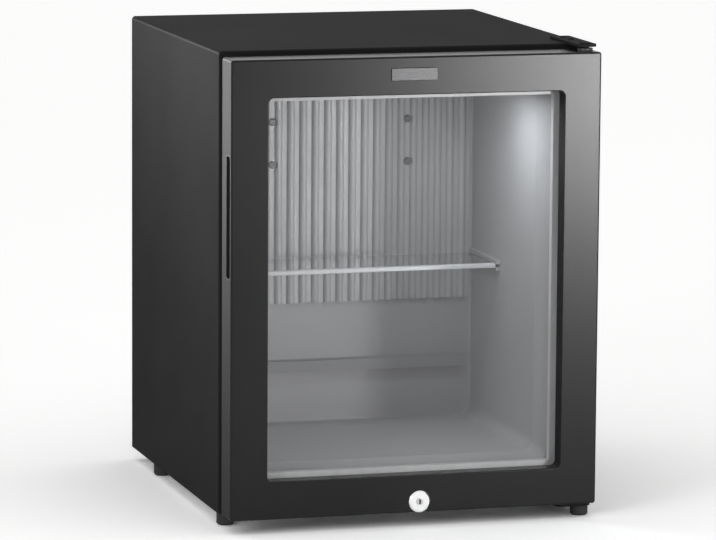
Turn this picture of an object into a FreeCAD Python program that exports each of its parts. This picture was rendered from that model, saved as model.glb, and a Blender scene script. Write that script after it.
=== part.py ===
import FreeCAD, Part
import math
import operator
import os
import types

import Sketcher

# Minibar fridge with a glazed door: width along X, depth along Y with the door towards -Y, height along Z.
# The origin lies on the floor, under the middle of the whole object.
# Every size below is in millimetres and is a cell of the document's sheet.
SIZES = {
    # Cabinet shell
    "cabinet_width": 400.0,
    "cabinet_height": 486.0,
    "cabinet_depth": 386.0,
    "sheet_gauge": 1.0,
    "wrap_bend": 4.0,
    "front_bend": 2.0,
    "front_flange": 16.0,
    "sill_height": 22.0,
    "rear_return": 12.0,
    "rail_height": 24.0,
    "rail_depth": 15.0,
    "rail_gauge": 2.0,
    "foam_clearance": 0.3,
    # Feet
    "foot_height": 14.0,
    "foot_radius": 9.5,
    "foot_pad_radius": 7.5,
    "foot_chamfer": 2.0,
    "foot_side_inset": 11.0,
    "foot_front_inset": 12.0,
    "foot_rear_inset": 12.0,
    # Insulated walls, each from the outer face to the face of the cavity
    "side_wall": 47.0,
    "top_wall": 41.0,
    "bottom_wall": 47.0,
    "rear_wall": 54.0,
    # Inner liner
    "liner_wall": 2.0,
    "liner_corner": 14.0,
    "liner_rear_corner": 3.0,
    "mouth_round": 1.5,
    "mouth_flare": 8.0,
    "mouth_depth": 25.0,
    # Cooling plate
    "plate_side_gap": 1.0,
    "plate_rise": 63.5,
    "plate_gauge": 2.0,
    "rib_pitch": 14.0,
    "rib_width": 9.0,
    "rib_height": 4.0,
    "plate_screw_spread": 154.0,
    "plate_screw_drop": 50.0,
    "plate_screw_pitch": 47.0,
    "spot_face_radius": 5.5,
    "screw_head_radius": 4.25,
    "screw_head_height": 2.4,
    "screw_radius": 2.0,
    "screw_length": 12.0,
    "screw_clearance": 0.2,
    "block_margin": 16.0,
    "block_depth": 14.0,
    # Cooling circuit behind the plate and in the rear compartment
    "tube_radius": 9.0,
    "tube_bend": 20.0,
    "tube_clearance": 0.3,
    "evaporator_drop": 40.0,
    "evaporator_reach": 200.0,
    "unit_front_gap": 8.0,
    "unit_rear_gap": 6.0,
    "circuit_box_gap": 10.0,
    "circuit_elbow": 36.0,
    "condenser_drop": 55.0,
    "condenser_radius": 10.0,
    "fin_side": 58.0,
    "fin_gauge": 1.0,
    "fin_pitch": 16.0,
    "boiler_radius": 12.0,
    "boiler_bend": 32.0,
    "boiler_side_inset": 55.0,
    "boiler_foot": 40.0,
    "jacket_side": 56.0,
    "jacket_round": 12.0,
    "jacket_height": 250.0,
    "jacket_lift": 20.0,
    "heater_radius": 6.0,
    "heater_offset": 19.0,
    "heater_stub": 8.0,
    "heater_depth": 120.0,
    "vessel_radius": 28.0,
    "vessel_overhang": 35.0,
    "vessel_boiler_gap": 50.0,
    "vessel_round": 10.0,
    "vessel_lift": 10.0,
    "coil_lift": 40.0,
    "coil_headroom": 63.0,
    "coil_side_gap": 12.0,
    "solution_radius": 6.0,
    "solution_bend": 9.0,
    "channel_width": 22.0,
    "channel_gauge": 2.0,
    "channel_spread": 80.0,
    "channel_overhang": 12.0,
    "bracket_width": 24.0,
    "bracket_gauge": 3.0,
    "bracket_upstand": 36.0,
    "bracket_spread": 170.0,
    # Electric box
    "box_width": 46.0,
    "box_depth": 48.0,
    "box_height": 110.0,
    "box_wall": 2.0,
    "box_round": 4.0,
    "box_side_gap": 4.0,
    "box_lift": 130.0,
    "lid_gauge": 2.5,
    "lid_lip": 1.5,
    "gland_radius": 8.0,
    "gland_bore_radius": 3.5,
    "gland_length": 14.0,
    "gland_flange": 3.0,
    "gland_flange_radius": 10.0,
    # Condensate gutter
    "drip_lift": 70.0,
    "drip_depth": 14.0,
    "drip_height": 13.0,
    "drip_wall": 1.6,
    "drip_side_gap": 10.0,
    "drain_radius": 5.0,
    "drain_bore_radius": 3.5,
    "drain_inset": 48.0,
    "drain_stub": 14.0,
    # Ceiling lamp and thermostat
    "lamp_offset": 70.0,
    "lamp_setback": 18.0,
    "lamp_depth": 46.0,
    "lamp_height": 8.0,
    "lamp_margin": 8.0,
    "lamp_round": 5.0,
    "lens_width": 40.0,
    "lens_drop": 6.0,
    "lens_round": 2.0,
    "lens_margin": 4.0,
    "knob_offset": 62.0,
    "knob_radius": 13.0,
    "knob_height": 4.4,
    "knob_gap": 0.3,
    "knob_stem_radius": 4.0,
    "knob_stem_length": 5.0,
    "knob_groove_radius": 1.2,
    "knob_dial_radius": 16.0,
    # Shelf
    "shelf_lift": 184.0,
    "shelf_depth": 92.0,
    "shelf_glass_gauge": 3.2,
    "shelf_side_gap": 1.5,
    "shelf_rear_gap": 4.0,
    "trim_depth": 8.0,
    "trim_height": 4.4,
    "trim_wall": 1.5,
    "trim_side_gap": 0.5,
    "runner_width": 5.0,
    "runner_height": 3.5,
    "runner_clearance": 0.3,
    "runner_reach": 2.0,
    # Door
    "door_thickness": 38.0,
    "gasket_gap": 12.0,
    "door_top_gap": 4.5,
    "door_bottom_gap": 1.0,
    "door_corner": 3.0,
    "door_front_round": 2.0,
    "door_rail": 40.0,
    "opening_corner": 6.0,
    "opening_round": 1.0,
    "door_wall": 2.5,
    "spacer_depth": 8.0,
    "pane_gauge": 4.0,
    "pane_overlap": 6.0,
    "pane_clearance": 0.5,
    "sealant_width": 5.0,
    "spacer_face": 6.5,
    "rear_frame_gauge": 4.0,
    "rear_frame_inset": 0.5,
    # Gasket
    "gasket_inset": 14.0,
    "gasket_bottom_inset": 24.0,
    "gasket_width": 16.0,
    "gasket_base": 3.0,
    "gasket_shoulder": 2.0,
    "gasket_corner": 6.0,
    "gasket_skin": 2.0,
    "gasket_slot": 7.0,
    "gasket_float": 0.3,
    "slot_clearance": 0.2,
    "key_height": 3.5,
    "magnet_gauge": 3.0,
    "magnet_end_gap": 10.0,
    # Finger recess in the door's left side
    "grip_lift": 252.0,
    "grip_height": 130.0,
    "grip_width": 18.0,
    "grip_depth": 18.0,
    "grip_wall": 1.5,
    "grip_clearance": 0.2,
    "grip_round": 5.0,
    # Badge plate
    "badge_width": 50.0,
    "badge_height": 13.5,
    "badge_offset": 4.5,
    "badge_lift": 1.5,
    "badge_gauge": 1.2,
    "badge_round": 1.5,
    # Cam lock
    "lock_offset": 4.5,
    "lock_projection": 4.0,
    "lock_floor_gap": 1.0,
    "bezel_radius": 11.5,
    "bezel_depth": 3.0,
    "bezel_chamfer": 1.2,
    "barrel_radius": 7.0,
    "plug_radius": 3.6,
    "lock_clearance": 0.05,
    "seat_clearance": 0.2,
    "keyway_width": 1.8,
    "keyway_height": 5.0,
    "keyway_depth": 9.0,
    "nut_flats": 17.0,
    "nut_depth": 4.0,
    "keeper_gap": 0.8,
    "keeper_gauge": 1.5,
    "keeper_width": 26.0,
    "keeper_foot": 18.0,
    "keeper_drop": 2.0,
    "cam_gap": 1.2,
    "cam_gauge": 2.5,
    "cam_width": 9.0,
    "cam_reach": 11.5,
    "cam_stub_radius": 3.0,
    "cam_screw_head_radius": 4.0,
    "cam_screw_head": 2.0,
    "cam_screw_radius": 1.5,
    "cam_screw_length": 8.0,
    # Hinges
    "hinge_inset": 12.0,
    "hinge_lug_width": 22.0,
    "hinge_lug_round": 9.0,
    "hinge_tail": 54.0,
    "hinge_tail_round": 3.0,
    "hinge_gauge": 2.5,
    "hinge_bracket_gauge": 3.0,
    "hinge_bracket_width": 40.0,
    "pin_radius": 4.0,
    "pin_head_radius": 6.0,
    "pin_head": 1.2,
    "pin_engagement": 14.0,
    "pin_clearance": 0.05,
    "bush_wall": 2.0,
    "bush_flange": 2.5,
    "bush_flange_width": 2.0,
    "bush_end_gap": 1.0,
    "thrust_clearance": 0.1,
    "boss_wall": 1.8,
    # Overrun of every cutting solid past the face that it leaves through
    "overrun": 5.0,
    # Distance under which two places count as the same
    "match": 0.02,
}

COIL_PASS_COUNT = 5
KNOB_GROOVE_COUNT = 18
NUT_SIDE_COUNT = 6

# Parts of a size that a shape follows
SCREW_CROWN_SHARE = 0.7
GLAND_NOSE_SHARE = 0.75
TRIM_ROUND_SHARE = 0.6
GUTTER_SLOPE_SHARE = 0.35

OPERATIONS = {"+": operator.add, "-": operator.sub, "*": operator.mul, "/": operator.truediv}
ROTATIONS = {
    "x": FreeCAD.Rotation(FreeCAD.Vector(0, 1, 0), 90),
    "y": FreeCAD.Rotation(FreeCAD.Vector(1, 0, 0), -90),
    "z": FreeCAD.Rotation(),
}

doc = FreeCAD.newDocument("minibar_fridge")
sheet = doc.addObject("Spreadsheet::Sheet", "sizes")
for row, (alias, value) in enumerate(SIZES.items(), start=1):
    sheet.set(f"A{row}", str(value))
    sheet.setAlias(f"A{row}", alias)
doc.recompute()

finished = []


class Size:
    """A length as a formula over the sheet's cells, with its value in millimetres."""

    def __init__(self, formula, value):
        self.formula = formula
        self.value = value

    def __add__(self, other):
        return combine(self, "+", other)

    def __sub__(self, other):
        return combine(self, "-", other)

    def __mul__(self, other):
        return combine(self, "*", other)

    def __truediv__(self, other):
        return combine(self, "/", other)

    def __neg__(self):
        return Size(f"(0 - {self.formula})", -self.value)


def as_size(length):
    return length if isinstance(length, Size) else Size(repr(length), length)


def combine(left, sign, right):
    left = as_size(left)
    right = as_size(right)
    return Size(f"({left.formula} {sign} {right.formula})", OPERATIONS[sign](left.value, right.value))


def about(centre, half):
    """The pair of places at half a width to each side of a centre."""
    return (centre - half, centre + half)


def grown(span, margin):
    """A pair of places moved apart by a margin at each end."""
    return (span[0] - margin, span[1] + margin)


def bind(thing, prop, length):
    thing.setExpression(prop, as_size(length).formula)


def place(thing, x, y, z, axis="z"):
    """Put a piece at a point, with its own Z turned to the given axis."""
    thing.Placement.Rotation = ROTATIONS[axis]
    for name, length in (("x", x), ("y", y), ("z", z)):
        bind(thing, f"Placement.Base.{name}", length)
    return thing


def block(name, x, y, z):
    """A box between three pairs of places."""
    box = doc.addObject("Part::Box", name)
    for prop, (low, high) in (("Length", x), ("Width", y), ("Height", z)):
        bind(box, prop, high - low)
    return place(box, x[0], y[0], z[0])


def funnel(name, y, near_x, near_z, far_x, far_z):
    """A block that runs along Y between two rectangles of different size."""
    wedge = doc.addObject("Part::Wedge", name)
    pairs = (("X", near_x), ("Y", y), ("Z", near_z), ("X2", far_x), ("Z2", far_z))
    for axis, (low, high) in pairs:
        bind(wedge, f"{axis}min", low)
        bind(wedge, f"{axis}max", high)
    return wedge


def rod(name, axis, start, radius, length):
    """A cylinder that runs from a point along an axis."""
    cylinder = doc.addObject("Part::Cylinder", name)
    bind(cylinder, "Radius", radius)
    bind(cylinder, "Height", length)
    return place(cylinder, *start, axis=axis)


def fuse(name, *pieces):
    union = doc.addObject("Part::MultiFuse", name)
    union.Shapes = list(pieces)
    return union


def cut(name, base, *tools):
    difference = doc.addObject("Part::Cut", name)
    difference.Base = base
    difference.Tool = tools[0] if len(tools) == 1 else fuse(f"{name}_tools", *tools)
    return difference


def group(name, pieces):
    """Several like solids under one name."""
    compound = doc.addObject("Part::Compound", name)
    compound.Links = list(pieces)
    return compound


def chosen_edges(shape, wanted):
    return [number for number, edge in enumerate(shape.Edges, start=1) if wanted(edge)]


def rounded(name, base, radius, wanted):
    """A piece with the wanted edges rounded."""
    doc.recompute()
    fillet = doc.addObject("Part::Fillet", name)
    fillet.Base = base
    fillet.Edges = [(number, radius.value, radius.value) for number in chosen_edges(base.Shape, wanted)]
    return fillet


def runs_along(axis):
    """A test for straight edges that run along an axis."""
    def wanted(edge):
        direction = edge.lastVertex().Point - edge.firstVertex().Point
        others = [abs(getattr(direction, name)) for name in "xyz" if name != axis]
        return abs(getattr(direction, axis)) > max(others) and max(others) < SIZES["match"]
    return wanted


def lies_at(axis, where):
    """A test for edges that lie in the plane at one place on an axis."""
    name = axis.upper()

    def wanted(edge):
        low = getattr(edge.BoundBox, f"{name}Min")
        high = getattr(edge.BoundBox, f"{name}Max")
        return abs(low - where.value) < SIZES["match"] and abs(high - where.value) < SIZES["match"]
    return wanted


def leaves_plane(axis):
    """A test for edges that change their place on an axis."""
    return lambda edge: getattr(edge.BoundBox, f"{axis.upper()}Length") > SIZES["match"]


def both(first, second):
    return lambda edge: first(edge) and second(edge)


def new_body(name, x=0, y=0, z=0, axis="z"):
    return place(doc.addObject("PartDesign::Body", name), x, y, z, axis)


def sketch_on(body, plane, name, offset=0):
    """An empty sketch on a plane of the body, moved along the plane's own axis of the body."""
    sketch = body.newObject("Sketcher::SketchObject", f"{body.Name}_{name}")
    origin_plane = next(each for each in body.Origin.OriginFeatures if each.Role == f"{plane}_Plane")
    sketch.AttachmentSupport = [(origin_plane, "")]
    sketch.MapMode = "FlatFace"
    bind(sketch, "AttachmentOffset.Base.z", -as_size(offset) if plane == "XZ" else as_size(offset))
    return sketch


def tie(sketch, kind, index, point, length):
    """Fix one coordinate of a sketch point by its distance from the sketch's origin."""
    length = as_size(length)
    number = sketch.addConstraint(Sketcher.Constraint(kind, -1, 1, index, point, length.value))
    bind(sketch, f"Constraints[{number}]", length)


def flat_point(u, v):
    return FreeCAD.Vector(as_size(u).value, as_size(v).value, 0)


def polygon(sketch, corners):
    """A closed outline of straight sides, with each corner tied to the sheet."""
    points = [flat_point(u, v) for u, v in corners]
    first = sketch.GeometryCount
    count = len(points)
    for number, point in enumerate(points):
        sketch.addGeometry(Part.LineSegment(point, points[(number + 1) % count]), False)
    for number, (u, v) in enumerate(corners):
        following = first + (number + 1) % count
        sketch.addConstraint(Sketcher.Constraint("Coincident", first + number, 2, following, 1))
        tie(sketch, "DistanceX", first + number, 1, u)
        tie(sketch, "DistanceY", first + number, 1, v)


def circle(sketch, u, v, radius):
    index = sketch.addGeometry(Part.Circle(flat_point(u, v), FreeCAD.Vector(0, 0, 1), radius.value), False)
    tie(sketch, "DistanceX", index, 3, u)
    tie(sketch, "DistanceY", index, 3, v)
    number = sketch.addConstraint(Sketcher.Constraint("Radius", index, radius.value))
    bind(sketch, f"Constraints[{number}]", radius)


def rectangle(sketch, u, v, radii=(None, None, None, None)):
    """A rectangle between two pairs of places; radii go round from the low corner, None for a sharp one."""
    corners = ((u[0], v[0]), (u[1], v[0]), (u[1], v[1]), (u[0], v[1]))
    points = [flat_point(*corner) for corner in corners]
    sides = [(points[(number + 1) % 4] - points[number]).normalize() for number in range(4)]
    sizes_of_corners = [radius.value if radius else 0 for radius in radii]
    lines = []
    for number in range(4):
        following = (number + 1) % 4
        start = points[number] + sides[number] * sizes_of_corners[number]
        end = points[following] - sides[number] * sizes_of_corners[following]
        lines.append(sketch.addGeometry(Part.LineSegment(start, end), False))
        direction = "Vertical" if number % 2 else "Horizontal"
        sketch.addConstraint(Sketcher.Constraint(direction, lines[number]))
        kind = "DistanceX" if number % 2 else "DistanceY"
        tie(sketch, kind, lines[number], 1, corners[number][0 if number % 2 else 1])
    for number, radius in enumerate(radii):
        before = lines[number - 1]
        after = lines[number]
        if radius is None:
            sketch.addConstraint(Sketcher.Constraint("Coincident", before, 2, after, 1))
            continue
        centre = points[number] + (sides[number] - sides[number - 1]) * radius.value
        start_angle = math.atan2(sides[number - 1].y, sides[number - 1].x) - math.pi / 2
        arc = Part.ArcOfCircle(
            Part.Circle(centre, FreeCAD.Vector(0, 0, 1), radius.value), start_angle, start_angle + math.pi / 2
        )
        index = sketch.addGeometry(arc, False)
        sketch.addConstraint(Sketcher.Constraint("Tangent", before, 2, index, 1))
        sketch.addConstraint(Sketcher.Constraint("Tangent", index, 2, after, 1))
        size = sketch.addConstraint(Sketcher.Constraint("Radius", index, radius.value))
        bind(sketch, f"Constraints[{size}]", radius)


def all_round(radius):
    return (radius,) * 4


def pad(body, sketch, length):
    """Add a sketch's area to the body, along the positive axis that its plane faces."""
    feature = body.newObject("PartDesign::Pad", f"{sketch.Name}_pad")
    feature.Profile = sketch
    bind(feature, "Length", length)
    feature.Reversed = sketch.AttachmentSupport[0][0].Role == "XZ_Plane"
    return feature


def pocket(body, sketch, length):
    """Take a sketch's area out of the body, along the positive axis that its plane faces."""
    doc.recompute()
    before = body.Shape.Volume
    feature = body.newObject("PartDesign::Pocket", f"{sketch.Name}_pocket")
    feature.Profile = sketch
    bind(feature, "Length", length)
    feature.Reversed = sketch.AttachmentSupport[0][0].Role != "XZ_Plane"
    doc.recompute()
    if body.Shape.Volume >= before:
        raise RuntimeError(f"{feature.Name} cuts nothing")
    return feature


def round_body(body, radius, wanted):
    """Round the wanted edges of a body; the test sees the body's own coordinates."""
    doc.recompute()
    base = body.Tip
    feature = body.newObject("PartDesign::Fillet", f"{body.Name}_round{len(body.Group)}")
    feature.Base = (base, [f"Edge{number}" for number in chosen_edges(base.Shape, wanted)])
    bind(feature, "Radius", radius)
    return feature


def ring(sketch, outer, inner, outer_radius=None, inner_radius=None):
    rectangle(sketch, *outer, all_round(outer_radius))
    rectangle(sketch, *inner, all_round(inner_radius))


def slab(name, plane, at, thickness, u, v, radii=(None, None, None, None)):
    """A rectangular plate on a plane of the object, at a place along that plane's axis."""
    body = new_body(name)
    outline = sketch_on(body, plane, "outline", at)
    rectangle(outline, u, v, radii)
    pad(body, outline, thickness)
    return body


def frame_slab(name, at, thickness, outer, inner, outer_radius=None, inner_radius=None):
    """A rectangular ring in the plane of the door."""
    body = new_body(name)
    outline = sketch_on(body, "XZ", "outline", at)
    ring(outline, outer, inner, outer_radius, inner_radius)
    pad(body, outline, thickness)
    return body


def turned(name, axis, start, profile):
    """A solid of revolution; profile gives radius and distance along the axis from its start."""
    body = new_body(name, *start, axis=axis)
    outline = sketch_on(body, "XZ", "outline")
    polygon(outline, profile)
    turn = body.newObject("PartDesign::Revolution", f"{name}_turn")
    turn.Profile = outline
    turn.ReferenceAxis = (outline, ["V_Axis"])
    turn.Angle = 360
    return body


def bent_path(points, bend):
    """Straight runs through the points, joined by arcs of one radius, or as much of it as the runs allow."""
    edges = []
    start = points[0]
    last = len(points) - 1
    for number in range(1, last):
        before, corner, after = points[number - 1:number + 2]
        into = (corner - before).normalize()
        out = (after - corner).normalize()
        half_turn = math.tan(into.getAngle(out) / 2)
        room = min(
            (corner - before).Length / (1 if number == 1 else 2),
            (after - corner).Length / (1 if number == last - 1 else 2),
        )
        reach = min(bend * half_turn, room)
        radius = reach / half_turn
        arc_start = corner - into * reach
        arc_end = corner + out * reach
        inward = (out - into).normalize()
        middle = corner + inward * (math.hypot(radius, reach) - radius)
        if not start.isEqual(arc_start, SIZES["match"]):
            edges.append(Part.LineSegment(start, arc_start).toShape())
        edges.append(Part.Arc(arc_start, middle, arc_end).toShape())
        start = arc_end
    if not start.isEqual(points[-1], SIZES["match"]):
        edges.append(Part.LineSegment(start, points[-1]).toShape())
    return Part.Wire(edges)


def tube_shape(places, radius, bend):
    """A round bar bent along a route of places."""
    points = [FreeCAD.Vector(*(as_size(length).value for length in point)) for point in places]
    path = bent_path(points, bend.value)
    section = Part.Wire(Part.makeCircle(radius.value, points[0], points[1] - points[0]))
    bar = path.makePipeShell([section], True, False)
    expected = math.pi * radius.value ** 2 * path.Length
    if abs(bar.Volume - expected) > expected / SIZES["cabinet_width"]:
        raise RuntimeError("a bent tube has the wrong volume")
    return bar


def tube(name, places, radius, bend):
    piece = doc.addObject("Part::Feature", name)
    piece.Shape = tube_shape(places, radius, bend)
    return piece


def finish(piece):
    finished.append(piece)
    return piece


size = types.SimpleNamespace(**{name: Size(f"sizes.{name}", number) for name, number in SIZES.items()})

no_length = Size("0", 0)

# Places that several pieces share
half_width = size.cabinet_width / 2
overall_depth = size.lock_projection + size.door_thickness + size.gasket_gap + size.cabinet_depth
door_front = size.lock_projection - overall_depth / 2
door_rear = door_front + size.door_thickness
front = door_rear + size.gasket_gap
rear = front + size.cabinet_depth
unit_rear = rear - size.sheet_gauge - size.rail_depth - size.unit_rear_gap
back = unit_rear - size.jacket_side - size.unit_front_gap
underside = size.foot_height
top = underside + size.cabinet_height
inner_half = half_width - size.sheet_gauge

cavity_half = half_width - size.side_wall
floor = underside + size.bottom_wall
ceiling = top - size.top_wall
cavity_back = back - size.rear_wall
flange_half = half_width - size.front_flange

plate_half = cavity_half - size.liner_rear_corner - size.plate_side_gap
gutter_half = cavity_half - size.drip_side_gap
gutter_lip = floor + size.drip_lift
plate_top = ceiling - size.liner_corner
plate_bottom = gutter_lip + size.plate_rise
plate_height = plate_top - plate_bottom
plate_face = cavity_back - size.plate_gauge
rib_face = plate_face - size.rib_height
rib_count = int((plate_half * 2 / size.rib_pitch).value)
screw_x = size.plate_screw_spread / 2
screw_high = plate_top - size.plate_screw_drop
screw_low = screw_high - size.plate_screw_pitch
block_x = about(no_length, screw_x + size.block_margin)
block_z = grown((screw_low, screw_high), size.block_margin)
block_back = cavity_back + size.block_depth

mouth_back = front + size.mouth_depth
shelf_top = floor + size.shelf_lift
shelf_under = shelf_top - size.shelf_glass_gauge
shelf_half = cavity_half - size.shelf_side_gap
shelf_rear = rib_face - size.shelf_rear_gap
shelf_front = shelf_rear - size.shelf_depth

door_bottom = underside + size.door_bottom_gap
door_top = top - size.door_top_gap
door_x = (-half_width, half_width)
door_z = (door_bottom, door_top)
opening_half = half_width - size.door_rail
opening_x = (-opening_half, opening_half)
opening_z = (door_bottom + size.door_rail, door_top - size.door_rail)
pane_x = grown(opening_x, size.pane_overlap)
pane_z = grown(opening_z, size.pane_overlap)
frame_depth = size.door_thickness - size.rear_frame_gauge
rear_frame_front = door_front + frame_depth
glazing_depth = size.spacer_depth + size.pane_gauge * 2
glass_front = rear_frame_front - glazing_depth

hinge_x = half_width - size.hinge_inset
hinge_y = door_front + size.door_thickness / 2
bush_radius = size.pin_radius + size.bush_wall

lock_x = size.lock_offset
lock_z = door_bottom + size.door_wall + size.lock_floor_gap + size.nut_flats / 2
keeper_front = door_rear + size.keeper_gap
cam_front = keeper_front + size.keeper_gauge + size.cam_gap
cam_rear = cam_front + size.cam_gauge

box_x = (inner_half - size.box_side_gap - size.box_width, inner_half - size.box_side_gap)
circuit_y = unit_rear - size.jacket_side / 2
circuit_x = box_x[0] - size.circuit_box_gap - size.tube_radius
boiler_x = size.boiler_side_inset - half_width
condenser_z = top - size.condenser_drop
condenser_start = boiler_x + size.boiler_bend + size.jacket_round
condenser_end = circuit_x - size.circuit_elbow
evaporator_y = block_back + size.tube_clearance + size.tube_radius
evaporator_middle = (screw_low + screw_high) / 2
evaporator_high = evaporator_middle + size.evaporator_drop / 2
evaporator_low = evaporator_middle - size.evaporator_drop / 2
vessel_x = (boiler_x + size.vessel_boiler_gap, circuit_x + size.vessel_overhang)
vessel_z = underside + size.vessel_lift + size.vessel_radius
coil_low = vessel_z + size.vessel_radius + size.coil_lift
coil_high = evaporator_low - size.coil_headroom
coil_pitch = (coil_high - coil_low) / (COIL_PASS_COUNT - 1)
coil_left = boiler_x + size.jacket_side / 2 + size.coil_side_gap + size.tube_radius
coil_right = circuit_x - size.tube_radius * 2 - size.coil_side_gap
drain_x = gutter_half - size.drain_inset
drain_z = gutter_lip - size.drip_height + size.drip_wall + size.drain_radius


def make_outer_wrap():
    """Bent sheet with both sides, the top, a folded front flange and rear return flanges."""
    outer = rounded(
        "wrap_outer",
        block("wrap_outer_block", door_x, (front, rear), (underside, top)),
        size.wrap_bend,
        both(runs_along("y"), lies_at("z", top)),
    )
    inner = rounded(
        "wrap_inner",
        block(
            "wrap_inner_block",
            (-inner_half, inner_half),
            (front + size.sheet_gauge, rear - size.sheet_gauge),
            (underside - size.overrun, top - size.sheet_gauge),
        ),
        size.wrap_bend - size.sheet_gauge,
        both(runs_along("y"), lies_at("z", top - size.sheet_gauge)),
    )
    mouth = block(
        "wrap_mouth",
        (-flange_half, flange_half),
        (front - size.overrun, front + size.overrun),
        (underside - size.overrun, top - size.front_flange),
    )
    return_half = half_width - size.rear_return
    rear_mouth = block(
        "wrap_rear_mouth",
        (-return_half, return_half),
        (rear - size.overrun, rear + size.overrun),
        (underside - size.overrun, top - size.rear_return),
    )
    folded = cut("wrap_folded", outer, inner, mouth, rear_mouth)
    outer_edge = lies_at("y", front)

    def outside(edge):
        corner = edge.BoundBox
        at_side = abs(abs(corner.Center.x) - half_width.value) < size.wrap_bend.value
        at_top = abs(corner.Center.z - top.value) < size.wrap_bend.value
        return at_side or at_top

    return finish(rounded("outer_wrap", folded, size.front_bend, both(outer_edge, outside)))


def make_base_pan():
    pan_floor = block(
        "pan_floor",
        (-inner_half, inner_half),
        (front + size.sheet_gauge, back),
        (underside, underside + size.sheet_gauge),
    )
    sill = block(
        "pan_sill",
        (-flange_half, flange_half),
        (front, front + size.sheet_gauge),
        (underside, underside + size.sill_height),
    )
    return finish(fuse("base_pan", pan_floor, sill))


def make_back_panel():
    """Sheet behind the insulation, with holes for the cooling tubes and the drain."""
    panel = slab(
        "back_panel",
        "XZ",
        back - size.sheet_gauge,
        size.sheet_gauge,
        (-inner_half, inner_half),
        (underside + size.sheet_gauge, top - size.sheet_gauge),
        (None, None, size.wrap_bend, size.wrap_bend),
    )
    holes = sketch_on(panel, "XZ", "holes", back - size.sheet_gauge)
    tube_hole = size.tube_radius + size.tube_clearance
    circle(holes, circuit_x, evaporator_high, tube_hole)
    circle(holes, circuit_x, evaporator_low, tube_hole)
    circle(holes, drain_x, drain_z, size.drain_radius + size.tube_clearance)
    pocket(panel, holes, size.sheet_gauge)
    return finish(panel)


def make_rear_rail():
    body = new_body("rear_rail", x=-inner_half)
    outline = sketch_on(body, "YZ", "outline")
    outer_face = rear - size.sheet_gauge
    polygon(outline, (
        (outer_face - size.rail_depth, underside),
        (outer_face, underside),
        (outer_face, underside + size.rail_height),
        (outer_face - size.rail_gauge, underside + size.rail_height),
        (outer_face - size.rail_gauge, underside + size.rail_gauge),
        (outer_face - size.rail_depth, underside + size.rail_gauge),
    ))
    pad(body, outline, inner_half * 2)
    return finish(body)


def make_liner():
    """Formed tub with its front flange and the moulded shelf runners."""
    wall = size.liner_wall
    tub = rounded(
        "liner_tub",
        block(
            "liner_tub_block",
            grown((-cavity_half, cavity_half), wall),
            (front, cavity_back + wall),
            grown((floor, ceiling), wall),
        ),
        size.liner_corner + wall,
        runs_along("y"),
    )
    tub = rounded("liner_tub_back", tub, size.liner_rear_corner + wall, lies_at("y", cavity_back + wall))
    flare = size.mouth_flare
    collar = rounded(
        "liner_collar",
        funnel(
            "liner_collar_block",
            (front, mouth_back + wall),
            grown((-cavity_half, cavity_half), flare + wall),
            grown((floor, ceiling), flare + wall),
            grown((-cavity_half, cavity_half), wall),
            grown((floor, ceiling), wall),
        ),
        size.liner_corner + wall,
        leaves_plane("y"),
    )
    flange = block(
        "liner_flange",
        (-flange_half, flange_half),
        (front, front + wall),
        (underside + size.sill_height, top - size.front_flange),
    )
    space = rounded(
        "liner_space",
        block(
            "liner_space_block",
            (-cavity_half, cavity_half),
            (front - size.overrun, cavity_back),
            (floor, ceiling),
        ),
        size.liner_corner,
        runs_along("y"),
    )
    space = rounded("liner_space_back", space, size.liner_rear_corner, lies_at("y", cavity_back))
    reach = flare * (size.mouth_depth + size.overrun) / size.mouth_depth
    mouth = rounded(
        "liner_mouth_space",
        funnel(
            "liner_mouth_block",
            (front - size.overrun, mouth_back),
            grown((-cavity_half, cavity_half), reach),
            grown((floor, ceiling), reach),
            (-cavity_half, cavity_half),
            (floor, ceiling),
        ),
        size.liner_corner,
        leaves_plane("y"),
    )
    window = block(
        "liner_window",
        grown(block_x, size.foam_clearance),
        (cavity_back - size.overrun, cavity_back + size.overrun),
        grown(block_z, size.foam_clearance),
    )
    drain_hole = rod(
        "liner_drain_hole",
        "y",
        (drain_x, cavity_back - wall, drain_z),
        size.drain_radius + size.tube_clearance,
        size.overrun + wall,
    )
    shell = cut("liner_shell", fuse("liner_flanged", tub, collar, flange), space, mouth, window, drain_hole)
    mouth_low, mouth_high = grown((floor, ceiling), flare + wall)
    shell = rounded("liner_mouth", shell, size.mouth_round, both(
        lies_at("y", front),
        lambda edge: abs(edge.BoundBox.Center.x) < flange_half.value - size.liner_corner.value
        and mouth_low.value < edge.BoundBox.Center.z < mouth_high.value,
    ))
    runners = []
    for side, sign in (("left", -1), ("right", 1)):
        wall_side = cavity_half * sign
        inner_side = wall_side - size.runner_width * sign
        root = wall_side + wall * sign / 2
        x = (root, inner_side) if sign < 0 else (inner_side, root)
        below = shelf_under - size.runner_clearance
        above = shelf_top + size.runner_clearance
        y = (shelf_front - size.runner_reach, rib_face - size.runner_clearance)
        runners.append(block(f"runner_{side}_lower", x, y, (below - size.runner_height, below)))
        runners.append(block(f"runner_{side}_upper", x, y, (above, above + size.runner_height)))
    return finish(fuse("inner_liner", shell, *runners))


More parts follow.
